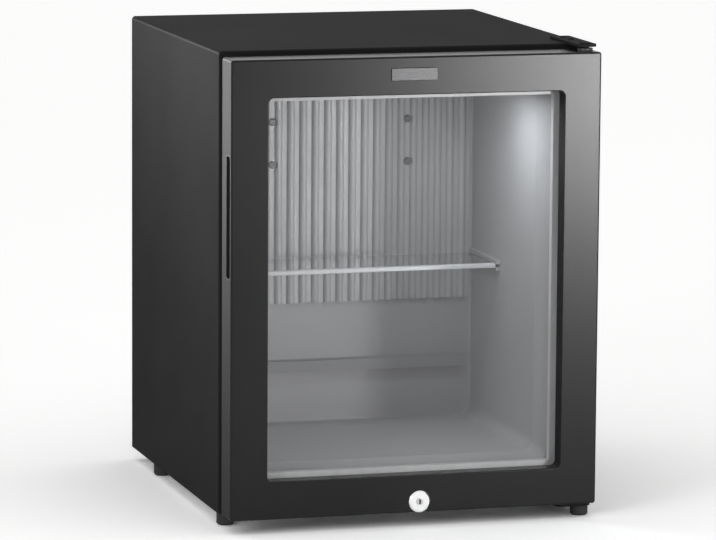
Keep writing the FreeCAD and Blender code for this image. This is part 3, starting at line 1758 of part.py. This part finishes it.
make_outer_wrap()
make_base_pan()
make_back_panel()
make_rear_rail()
make_liner()
make_foam()
make_evaporator_plate()
make_evaporator_screws()
make_cold_block()
make_evaporator_tube()
make_solution_line(make_boiler())
make_condenser()
make_absorber()
make_unit_supports()
make_control_box()
make_drip_channel()
make_lamp()
make_shelf()
make_feet()
make_hinges()
make_bushes()
make_door_frame()
make_door_rear_frame()
make_gasket()
make_glazing()
make_grip_cup()
make_badge_plate()
make_lock()
make_lock_keeper()
export_parts()
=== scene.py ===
import math

import bmesh
import bpy
from mathutils import Matrix, Vector


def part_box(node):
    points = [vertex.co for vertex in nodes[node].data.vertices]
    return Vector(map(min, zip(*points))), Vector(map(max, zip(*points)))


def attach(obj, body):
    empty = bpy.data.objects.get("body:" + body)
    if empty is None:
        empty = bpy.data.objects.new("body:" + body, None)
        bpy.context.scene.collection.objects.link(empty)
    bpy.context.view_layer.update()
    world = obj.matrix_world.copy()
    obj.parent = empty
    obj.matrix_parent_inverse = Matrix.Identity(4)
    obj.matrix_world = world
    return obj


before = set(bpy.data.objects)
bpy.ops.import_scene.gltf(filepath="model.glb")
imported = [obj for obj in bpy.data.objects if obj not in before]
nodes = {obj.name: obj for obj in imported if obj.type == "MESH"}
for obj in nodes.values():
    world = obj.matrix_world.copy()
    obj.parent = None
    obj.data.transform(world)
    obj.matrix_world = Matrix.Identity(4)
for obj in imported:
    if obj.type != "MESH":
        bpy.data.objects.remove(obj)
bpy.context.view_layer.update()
scene = bpy.context.scene
scene.view_settings.view_transform = "Standard"

# The photograph's frame and the camera that was fitted to it
IMAGE_WIDTH = 716
FOCAL_PIXELS = 4636.16
SENSOR_WIDTH = 36.0
CAMERA_AZIMUTH = math.radians(-16.284)
CAMERA_ELEVATION = math.radians(8.639)
CAMERA_ROLL = math.radians(0.40)
CAMERA_PLACE = Vector((-1.3953, -4.7739, 0.9959))
CAMERA_REACH = 100.0

# Floor and sky, and the kinds of rays that see them white
FLOOR_SPAN = 40.0
FLOOR_COLOUR = (0.93, 0.93, 0.925, 1.0)
FLOOR_LIFT = (0.36, 0.36, 0.36, 1.0)
FLOOR_ROUGHNESS = 0.9
FLOOR_SPECULAR = 0.1
SKY_COLOUR = (1.0, 1.0, 1.0, 1.0)
SKY_HORIZON = 0.25
SKY_ZENITH = 1.00
SEEN_RAYS = ("Camera", "Glossy", "Transmission")

# Studio lamps: metres, watts and degrees. The key gives the sheen at the door's upper right, and
# its mirror image lies just beside the glass. The rim lights the door's left edge.
STUDIO_LAMPS = (
    dict(name="key", place=(1.343, -3.066, 0.174), target=(0.15, -0.2, 0.45),
         size=(0.36, 0.30), power=1.5, spread=30.0),
    dict(name="rim", place=(-0.80, 1.25, 0.62), target=(-0.2, -0.25, 0.42),
         size=(0.3, 0.3), power=0.85, spread=26.0),
    dict(name="fill", place=(-1.5, -1.3, 0.7), target=(0.15, 0.0, 0.2),
         size=(0.8, 0.8), power=1.5, spread=60.0),
)

# The fridge's own lamp: a cold white light just under its lens, which glows
LAMP_COLOUR = (0.92, 0.96, 1.0)
LAMP_POWER = 0.35
LAMP_GAP = 0.001
LENS_GLOW = 1.3

# Noise that drives colour, roughness and bump: the part of its range in use, and the slow change
# of tone per metre
NOISE_LOW, NOISE_HIGH = 0.3, 0.7
NOISE_ROUGHNESS = 0.55
MOTTLE = 9.0
MOTTLE_DETAIL = 4.0
GRAIN_DETAIL = 2.0

# Zinc coat: the part of the cells' tones in use, and a finer relief over them
SPANGLE_LOW, SPANGLE_HIGH = 0.1, 0.9
RELIEF_FINENESS = 6
RELIEF_DETAIL = 3.0
RELIEF_BUMP = (0.08, 0.0002)

# Thin clear panes: weaker mirror images than bare window glass, and an uneven film
GLASS_IOR = 1.30
FILM = 14.0
FILM_DETAIL = 4.0
FILM_STRETCH = (1.0, 1.0, 0.35)

# The door's upright edges are duller than its satin front
SIDE_ROUGHNESS = 0.72

# Moulded, coated and brushed looks: the ends of the colour and roughness ranges, grain per metre,
# and bump as a strength and a depth in metres
GRAINED = {
    "cabinet_paint": dict(
        dark=(0.018, 0.018, 0.0183), light=(0.023, 0.023, 0.0233), rough=(0.48, 0.58),
        grain=1500.0, bump=(0.30, 0.0002), Specular_IOR_Level=0.004),
    "door_black": dict(
        dark=(0.006, 0.006, 0.0065), light=(0.009, 0.009, 0.0095), rough=(0.21, 0.28),
        grain=2200.0, bump=(0.10, 0.0001), Specular_IOR_Level=0.17),
    "grip_black": dict(
        dark=(0.006, 0.006, 0.006), light=(0.010, 0.010, 0.010), rough=(0.5, 0.6),
        grain=1800.0, bump=(0.2, 0.0001), Specular_IOR_Level=0.3),
    "box_black": dict(
        dark=(0.020, 0.020, 0.021), light=(0.030, 0.030, 0.031), rough=(0.45, 0.58),
        grain=1600.0, bump=(0.3, 0.0002)),
    "liner_grey": dict(
        dark=(0.41, 0.41, 0.415), light=(0.455, 0.455, 0.46), rough=(0.42, 0.52),
        grain=900.0, bump=(0.05, 0.0001), mottle=5.0),
    "white_moulding": dict(
        dark=(0.74, 0.75, 0.76), light=(0.82, 0.83, 0.83), rough=(0.28, 0.36),
        grain=1200.0, bump=(0.06, 0.0001)),
    "housing_white": dict(
        dark=(0.56, 0.565, 0.57), light=(0.63, 0.635, 0.64), rough=(0.32, 0.42),
        grain=1200.0, bump=(0.06, 0.0001)),
    "rubber": dict(
        dark=(0.016, 0.016, 0.016), light=(0.026, 0.026, 0.026), rough=(0.62, 0.75),
        grain=1100.0, bump=(0.25, 0.0002), Specular_IOR_Level=0.3),
    "seal_grey": dict(
        dark=(0.030, 0.030, 0.031), light=(0.045, 0.045, 0.046), rough=(0.5, 0.62),
        grain=1300.0, bump=(0.15, 0.0002)),
    "unit_enamel": dict(
        dark=(0.012, 0.012, 0.012), light=(0.028, 0.027, 0.026), rough=(0.38, 0.6),
        grain=260.0, bump=(0.18, 0.0003), mottle=22.0),
    "nylon": dict(
        dark=(0.045, 0.045, 0.046), light=(0.06, 0.06, 0.061), rough=(0.4, 0.5),
        grain=1200.0, bump=(0.1, 0.0001)),
    "foam": dict(
        dark=(0.66, 0.55, 0.30), light=(0.76, 0.66, 0.40), rough=(0.8, 0.9),
        grain=500.0, bump=(0.6, 0.001)),
    "plug_nickel": dict(
        dark=(0.30, 0.30, 0.31), light=(0.38, 0.38, 0.38), rough=(0.26, 0.36),
        grain=1600.0, bump=(0.05, 0.0001), Metallic=0.9),
    "screw_grey": dict(
        dark=(0.16, 0.16, 0.163), light=(0.21, 0.21, 0.213), rough=(0.4, 0.5),
        grain=1500.0, bump=(0.1, 0.0001)),
    "plate": dict(
        dark=(0.48, 0.482, 0.485), light=(0.55, 0.552, 0.555), rough=(0.42, 0.54),
        grain=900.0, bump=(0.12, 0.0002), stretch=(1.0, 1.0, 0.04), Metallic=0.1),
    "fin": dict(
        dark=(0.60, 0.61, 0.62), light=(0.74, 0.75, 0.76), rough=(0.24, 0.42),
        grain=700.0, bump=(0.10, 0.0001), stretch=(1.0, 0.06, 1.0), Metallic=1.0),
    "spacer": dict(
        dark=(0.56, 0.563, 0.566), light=(0.63, 0.633, 0.636), rough=(0.42, 0.54),
        grain=1500.0, bump=(0.2, 0.0001), Metallic=0.2),
    "chrome": dict(
        dark=(0.78, 0.78, 0.79), light=(0.86, 0.86, 0.86), rough=(0.10, 0.20),
        grain=1600.0, bump=(0.05, 0.0001), Metallic=1.0),
    "badge": dict(
        dark=(0.020, 0.020, 0.021), light=(0.034, 0.034, 0.035), rough=(0.22, 0.34),
        grain=1400.0, bump=(0.1, 0.0001), stretch=(0.05, 1.0, 1.0), Metallic=0.6),
    "lens": dict(
        dark=(0.90, 0.93, 0.96), light=(0.98, 0.98, 1.0), rough=(0.3, 0.4),
        grain=500.0, bump=(0.1, 0.0002),
        Emission_Color=(*LAMP_COLOUR, 1.0), Emission_Strength=LENS_GLOW),
}

# Zinc looks, with cells per metre
SPANGLED = {
    "zinc_sheet": dict(
        dark=(0.44, 0.445, 0.45), light=(0.54, 0.545, 0.55), rough=(0.56, 0.68), cells=210.0),
    "zinc_steel": dict(
        dark=(0.52, 0.52, 0.51), light=(0.66, 0.66, 0.65), rough=(0.50, 0.62), cells=420.0),
}

# Glass looks, with the roughness range of the film
GLAZED = {
    "pane": dict(tint=(0.88, 0.88, 0.882), smear=(0.0, 0.02)),
    "shelf_pane": dict(tint=(0.86, 0.87, 0.87), smear=(0.0, 0.03)),
}

# The CAD nodes that take each look
DRESSED = {
    "cabinet_paint": ["outer_wrap", "rear_rail", "upper_hinge_plate", "upper_hinge_pin",
                      "lower_hinge_bracket"],
    "door_black": ["door_frame", "door_rear_frame"],
    "grip_black": ["grip_cup"],
    "box_black": ["control_box", "control_box_lid", "cable_gland"],
    "liner_grey": ["inner_liner", "drip_channel"],
    "white_moulding": ["shelf_trim"],
    "housing_white": ["lamp_housing", "thermostat_knob", "drain_tube"],
    "rubber": ["foot_front_left", "foot_rear_left", "foot_rear_right", "hinge_foot",
               "pane_sealant"],
    "seal_grey": ["door_gasket", "gasket_magnets"],
    "unit_enamel": ["evaporator_tube", "boiler_tube", "condenser_tube", "absorber_vessel",
                    "absorber_coil", "solution_line"],
    "nylon": ["upper_hinge_bush", "lower_hinge_bush"],
    "foam": ["insulation_foam"],
    "zinc_sheet": ["base_pan", "back_panel", "boiler_jacket", "coil_rails", "vessel_brackets"],
    "zinc_steel": ["lower_hinge_pin", "lock_keeper", "heater_cartridge", "lock_nut", "lock_cam",
                   "cam_screw"],
    "plate": ["evaporator_plate", "cold_block"],
    "fin": ["condenser_fins"],
    "spacer": ["pane_spacer"],
    "chrome": ["lock_barrel"],
    "plug_nickel": ["lock_plug"],
    "screw_grey": ["evaporator_screws"],
    "badge": ["badge_plate"],
    "pane": ["front_pane", "rear_pane"],
    "shelf_pane": ["shelf_glass"],
    "lens": ["lamp_lens"],
}

# Screw heads of radius 1 and height 1: outline as radius and height, and the tapered cross recess,
# whose levels are a height and a share of its plan
HEAD_OUTLINE = ((0.62, 0.95), (0.82, 0.80), (0.95, 0.52), (1.0, 0.25), (1.0, 0.0))
HEAD_STEPS = 32
CROSS_ARM = 0.56
CROSS_HALF = 0.13
CROSS_LEVELS = ((0.35, 0.55), (1.2, 1.05))
SCREW_TURN = 0.6

# Sets of screws, in metres
UP, DOWN, REARWARDS = (0, 0, 1), (0, 0, -1), (0, 1, 0)
SCREWS = (
    dict(name="upper_hinge_screws", look="cabinet_paint", slot="black_paint", body="cabinet",
         direction=UP, radius=0.0036, height=0.0011,
         places=((0.188, -0.150, 0.5025), (0.188, -0.125, 0.5025))),
    dict(name="lower_hinge_screws", look="zinc_steel", slot="zinc_steel", body="cabinet",
         direction=DOWN, radius=0.0036, height=0.0012,
         places=((0.179, -0.150, 0.011), (0.179, -0.125, 0.011))),
    dict(name="keeper_screws", look="zinc_steel", slot="zinc_steel", body="cabinet",
         direction=DOWN, radius=0.0030, height=0.0011,
         places=((-0.0030, -0.157, 0.0125), (0.0120, -0.157, 0.0125))),
    dict(name="panel_screws", look="zinc_steel", slot="zinc_steel", body="cabinet",
         direction=REARWARDS, radius=0.0034, height=0.0017,
         places=((-0.188, 0.134, 0.060), (-0.188, 0.134, 0.300), (-0.188, 0.134, 0.440),
                 (0.188, 0.134, 0.060), (0.188, 0.134, 0.300), (0.188, 0.134, 0.440))),
    dict(name="rail_screws", look="zinc_steel", slot="zinc_steel", body="cabinet",
         direction=REARWARDS, radius=0.0034, height=0.0010,
         places=((-0.180, 0.219, 0.026), (0.180, 0.219, 0.026))),
    dict(name="box_screws", look="zinc_steel", slot="zinc_steel", body="cabinet",
         direction=REARWARDS, radius=0.0026, height=0.0014,
         places=((0.1545, 0.1845, 0.249), (0.1895, 0.1845, 0.249),
                 (0.1545, 0.1845, 0.149), (0.1895, 0.1845, 0.149))),
    dict(name="lamp_screw", look="housing_white", slot="white_plastic", body="cabinet",
         direction=DOWN, radius=0.0026, height=0.0012,
         places=((0.0355, -0.125, 0.451),)),
)


def make_camera():
    azimuth, elevation, roll = CAMERA_AZIMUTH, CAMERA_ELEVATION, CAMERA_ROLL
    back = Vector((
        math.sin(azimuth) * math.cos(elevation),
        -math.cos(azimuth) * math.cos(elevation),
        math.sin(elevation),
    ))
    level = Vector((math.cos(azimuth), math.sin(azimuth), 0.0))
    upright = back.cross(level)
    right = level * math.cos(roll) + upright * math.sin(roll)
    up = upright * math.cos(roll) - level * math.sin(roll)
    data = bpy.data.cameras.new("camera")
    data.sensor_width = SENSOR_WIDTH
    data.lens = FOCAL_PIXELS * SENSOR_WIDTH / IMAGE_WIDTH
    data.clip_end = CAMERA_REACH
    camera = bpy.data.objects.new("camera", data)
    turn = Matrix((right, up, back)).transposed()
    camera.matrix_world = Matrix.Translation(CAMERA_PLACE) @ turn.to_4x4()
    scene.collection.objects.link(camera)
    scene.camera = camera


def greatest(tree, first, *others):
    """The greatest of some node outputs."""
    for other in others:
        most = tree.nodes.new("ShaderNodeMath")
        most.operation = "MAXIMUM"
        tree.links.new(first, most.inputs[0])
        tree.links.new(other, most.inputs[1])
        first = most.outputs[0]
    return first


def ray_is(tree, *kinds):
    """1 for a ray of any of these kinds, otherwise 0."""
    outputs = tree.nodes.new("ShaderNodeLightPath").outputs
    return greatest(tree, *(outputs[f"Is {kind} Ray"] for kind in kinds))


class Surface:
    """A node material: a Principled shader with textures in metres on its sockets."""

    def __init__(self, name):
        self.material = bpy.data.materials.new(name)
        self.material.use_nodes = True
        self.tree = self.material.node_tree
        self.shader = self.tree.nodes["Principled BSDF"]
        self.output = self.tree.nodes["Material Output"]
        place = self.tree.nodes.new("ShaderNodeTexCoord")
        self.place = place.outputs["Object"]
        self.facing = place.outputs["Normal"]

    def link(self, source, target):
        self.tree.links.new(source, target)

    def set(self, **values):
        for key, value in values.items():
            self.shader.inputs[key.replace("_", " ")].default_value = value

    def stretched(self, stretch):
        mapping = self.tree.nodes.new("ShaderNodeMapping")
        mapping.inputs["Scale"].default_value = stretch
        self.link(self.place, mapping.inputs["Vector"])
        return mapping.outputs["Vector"]

    def noise(self, scale, detail, stretch=None):
        texture = self.tree.nodes.new("ShaderNodeTexNoise")
        texture.inputs["Scale"].default_value = scale
        texture.inputs["Detail"].default_value = detail
        texture.inputs["Roughness"].default_value = NOISE_ROUGHNESS
        place = self.stretched(stretch) if stretch else self.place
        self.link(place, texture.inputs["Vector"])
        return texture.outputs["Fac"]

    def cells(self, scale):
        texture = self.tree.nodes.new("ShaderNodeTexVoronoi")
        texture.inputs["Scale"].default_value = scale
        self.link(self.place, texture.inputs["Vector"])
        return texture.outputs["Color"]

    def sideways(self):
        """How far the surface faces left or right, from 0 to 1."""
        split = self.tree.nodes.new("ShaderNodeSeparateXYZ")
        self.link(self.facing, split.inputs[0])
        size = self.tree.nodes.new("ShaderNodeMath")
        size.operation = "ABSOLUTE"
        self.link(split.outputs["X"], size.inputs[0])
        return size.outputs[0]

    def spread(self, value, low, high, start=NOISE_LOW, end=NOISE_HIGH):
        """The value's range from start to end, laid over low to high."""
        span = self.tree.nodes.new("ShaderNodeMapRange")
        span.inputs["From Min"].default_value = start
        span.inputs["From Max"].default_value = end
        span.inputs["To Min"].default_value = low
        span.inputs["To Max"].default_value = high
        self.link(value, span.inputs["Value"])
        return span.outputs["Result"]

    def colour(self, value, dark, light, start=NOISE_LOW, end=NOISE_HIGH):
        ramp = self.tree.nodes.new("ShaderNodeValToRGB")
        first, last = ramp.color_ramp.elements
        first.position, last.position = start, end
        first.color = (*dark, 1.0)
        last.color = (*light, 1.0)
        self.link(value, ramp.inputs["Fac"])
        self.link(ramp.outputs["Color"], self.shader.inputs["Base Color"])

    def roughness(self, value, low, high):
        self.link(self.spread(value, low, high), self.shader.inputs["Roughness"])

    def bump(self, height, strength, distance):
        node = self.tree.nodes.new("ShaderNodeBump")
        node.inputs["Strength"].default_value = strength
        node.inputs["Distance"].default_value = distance
        self.link(height, node.inputs["Height"])
        self.link(node.outputs["Normal"], self.shader.inputs["Normal"])

    def show(self, share, shader):
        """Lets another shader take the share's part of the surface."""
        mix = self.tree.nodes.new("ShaderNodeMixShader")
        self.link(share, mix.inputs["Fac"])
        self.link(self.shader.outputs[0], mix.inputs[1])
        self.link(shader.outputs[0], mix.inputs[2])
        self.link(mix.outputs[0], self.output.inputs["Surface"])


def grained(name, dark, light, rough, grain, bump, mottle=MOTTLE, stretch=None, **shader):
    """Slow changes of tone, and a fine grain that drives roughness and bump."""
    surface = Surface(name)
    surface.colour(surface.noise(mottle, MOTTLE_DETAIL), dark, light)
    fine = surface.noise(grain, GRAIN_DETAIL, stretch)
    surface.roughness(fine, *rough)
    surface.bump(fine, *bump)
    surface.set(**shader)
    return surface


def spangled(name, dark, light, rough, cells):
    """Zinc coat: crystal cells of slightly different tone and gloss."""
    surface = Surface(name)
    surface.set(Metallic=1.0)
    cell = surface.cells(cells)
    surface.colour(cell, dark, light, SPANGLE_LOW, SPANGLE_HIGH)
    surface.roughness(cell, *rough)
    surface.bump(surface.noise(cells * RELIEF_FINENESS, RELIEF_DETAIL), *RELIEF_BUMP)
    return surface


def glazing(name, tint, smear):
    """Clear glass that lets lamp light through, with a faint uneven film."""
    surface = Surface(name)
    surface.set(Base_Color=(*tint, 1.0), Transmission_Weight=1.0, IOR=GLASS_IOR)
    surface.roughness(surface.noise(FILM, FILM_DETAIL, FILM_STRETCH), *smear)
    clear = surface.tree.nodes.new("ShaderNodeBsdfTransparent")
    clear.inputs["Color"].default_value = (*tint, 1.0)
    surface.show(ray_is(surface.tree, "Shadow", "Diffuse"), clear)
    return surface


def matt_sides(surface):
    """Makes the faces to the left and right duller than the front."""
    target = surface.shader.inputs["Roughness"]
    satin = target.links[0].from_socket
    matt = surface.spread(surface.sideways(), 0.0, SIDE_ROUGHNESS, 0.0, 1.0)
    surface.link(greatest(surface.tree, satin, matt), target)


def make_materials():
    made = {}
    for make, looks in ((grained, GRAINED), (spangled, SPANGLED), (glazing, GLAZED)):
        for name, look in looks.items():
            made[name] = make(name, **look)
    matt_sides(made["door_black"])
    return {name: surface.material for name, surface in made.items()}


def dress(materials):
    for look, names in DRESSED.items():
        for name in names:
            mesh = nodes[name].data
            mesh.materials.clear()
            mesh.materials.append(materials[look])


def drawn(name, points, faces):
    mesh = bpy.data.meshes.new(name)
    mesh.from_pydata(points, [], faces)
    return mesh


def placed(name, data):
    made = bpy.data.objects.new(name, data)
    scene.collection.objects.link(made)
    return made


def turned_head():
    """Pan head that stands on z = 0."""
    points = [(0.0, 0.0, 1.0)]
    for share, rise in HEAD_OUTLINE:
        for step in range(HEAD_STEPS):
            angle = 2 * math.pi * step / HEAD_STEPS
            points.append((share * math.cos(angle), share * math.sin(angle), rise))
    faces = []
    for step in range(HEAD_STEPS):
        after = (step + 1) % HEAD_STEPS
        faces.append((0, 1 + step, 1 + after))
        for ring in range(len(HEAD_OUTLINE) - 1):
            near, far = 1 + ring * HEAD_STEPS, 1 + (ring + 1) * HEAD_STEPS
            faces.append((near + step, far + step, far + after, near + after))
    rim = 1 + (len(HEAD_OUTLINE) - 1) * HEAD_STEPS
    faces.append(tuple(rim + step for step in reversed(range(HEAD_STEPS))))
    return drawn("head", points, faces)


def cross_cutter():
    """Tapered cross that is taken out of the head."""
    arm, half = CROSS_ARM, CROSS_HALF
    plan = [(arm, -half), (arm, half), (half, half), (half, arm),
            (-half, arm), (-half, half), (-arm, half), (-arm, -half),
            (-half, -half), (-half, -arm), (half, -arm), (half, -half)]
    points = [(x * share, y * share, rise) for rise, share in CROSS_LEVELS for x, y in plan]
    count = len(plan)
    faces = [tuple(reversed(range(count))), tuple(range(count, 2 * count))]
    for corner in range(count):
        after = (corner + 1) % count
        faces.append((corner, after, count + after, count + corner))
    return drawn("cross", points, faces)


def screw_head():
    head = placed("head", turned_head())
    cross = placed("cross", cross_cutter())
    cut = head.modifiers.new("recess", "BOOLEAN")
    cut.operation = "DIFFERENCE"
    cut.object = cross
    finished = head.evaluated_get(bpy.context.evaluated_depsgraph_get())
    mesh = bpy.data.meshes.new_from_object(finished)
    for each in (head, cross):
        bpy.data.objects.remove(each)
    return mesh


def make_screw_set(head, materials, name, look, slot, body, direction, radius, height, places):
    """One piece with a copy of the head at each place."""
    joined = bmesh.new()
    aim = Vector(direction).to_track_quat("Z", "Y").to_matrix().to_4x4()
    size = Matrix.Diagonal((radius, radius, height, 1.0))
    for number, place in enumerate(places):
        turn = Matrix.Rotation(SCREW_TURN * (number + 1), 4, "Z")
        copy = head.copy()
        copy.transform(Matrix.Translation(Vector(place)) @ aim @ turn @ size)
        joined.from_mesh(copy)
        bpy.data.meshes.remove(copy)
    mesh = bpy.data.meshes.new(name)
    joined.to_mesh(mesh)
    joined.free()
    mesh.materials.append(materials[look])
    screws = placed(name, mesh)
    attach(screws, body)


def make_screws(materials):
    head = screw_head()
    for screws in SCREWS:
        make_screw_set(head, materials, **screws)


def make_floor():
    half = FLOOR_SPAN / 2
    corners = [(-half, -half, 0.0), (half, -half, 0.0), (half, half, 0.0), (-half, half, 0.0)]
    mesh = drawn("floor", corners, [(0, 1, 2, 3)])
    floor = placed("floor", mesh)
    surface = Surface("floor")
    surface.set(Base_Color=FLOOR_COLOUR, Roughness=FLOOR_ROUGHNESS,
                Specular_IOR_Level=FLOOR_SPECULAR)
    # The camera, mirrors and panes see a whiter floor with the same shadow. Its light on the
    # object stays as it is.
    lift = surface.tree.nodes.new("ShaderNodeBsdfDiffuse")
    lift.inputs["Color"].default_value = FLOOR_LIFT
    whiter = surface.tree.nodes.new("ShaderNodeAddShader")
    surface.link(surface.shader.outputs[0], whiter.inputs[0])
    surface.link(lift.outputs[0], whiter.inputs[1])
    surface.show(ray_is(surface.tree, *SEEN_RAYS), whiter)
    mesh.materials.append(surface.material)


def make_sky():
    world = bpy.data.worlds.new("sky")
    scene.world = world
    world.use_nodes = True
    tree = world.node_tree
    place = tree.nodes.new("ShaderNodeTexCoord")
    split = tree.nodes.new("ShaderNodeSeparateXYZ")
    height = tree.nodes.new("ShaderNodeMapRange")
    height.inputs["From Min"].default_value = 0.0
    height.inputs["From Max"].default_value = 1.0
    height.inputs["To Min"].default_value = SKY_HORIZON
    height.inputs["To Max"].default_value = SKY_ZENITH
    tree.links.new(place.outputs["Generated"], split.inputs[0])
    tree.links.new(split.outputs["Z"], height.inputs["Value"])
    background = tree.nodes["Background"]
    background.inputs["Color"].default_value = SKY_COLOUR
    # What is seen of the sky is white. Its light is weaker near the horizon.
    strength = greatest(tree, height.outputs["Result"], ray_is(tree, *SEEN_RAYS))
    tree.links.new(strength, background.inputs["Strength"])


def area_light(name, place, target, size, power, spread=180.0, colour=(1.0, 1.0, 1.0)):
    data = bpy.data.lights.new(name, "AREA")
    data.shape = "RECTANGLE"
    data.size, data.size_y = size
    data.energy = power
    data.color = colour
    data.spread = math.radians(spread)
    light = placed(name, data)
    light.location = place
    aim = Vector(target) - Vector(place)
    light.rotation_euler = aim.to_track_quat("-Z", "Y").to_euler()
    light.visible_camera = False


def make_lights():
    for lamp in STUDIO_LAMPS:
        area_light(**lamp)
    low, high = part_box("lamp_lens")
    middle = (low + high) / 2
    under = Vector((middle.x, middle.y, low.z - LAMP_GAP))
    below = under - Vector((0.0, 0.0, 1.0))
    area_light("lamp", under, below, (high.x - low.x, high.y - low.y), LAMP_POWER,
               colour=LAMP_COLOUR)


make_camera()
materials = make_materials()
dress(materials)
make_screws(materials)
make_floor()
make_sky()
make_lights()
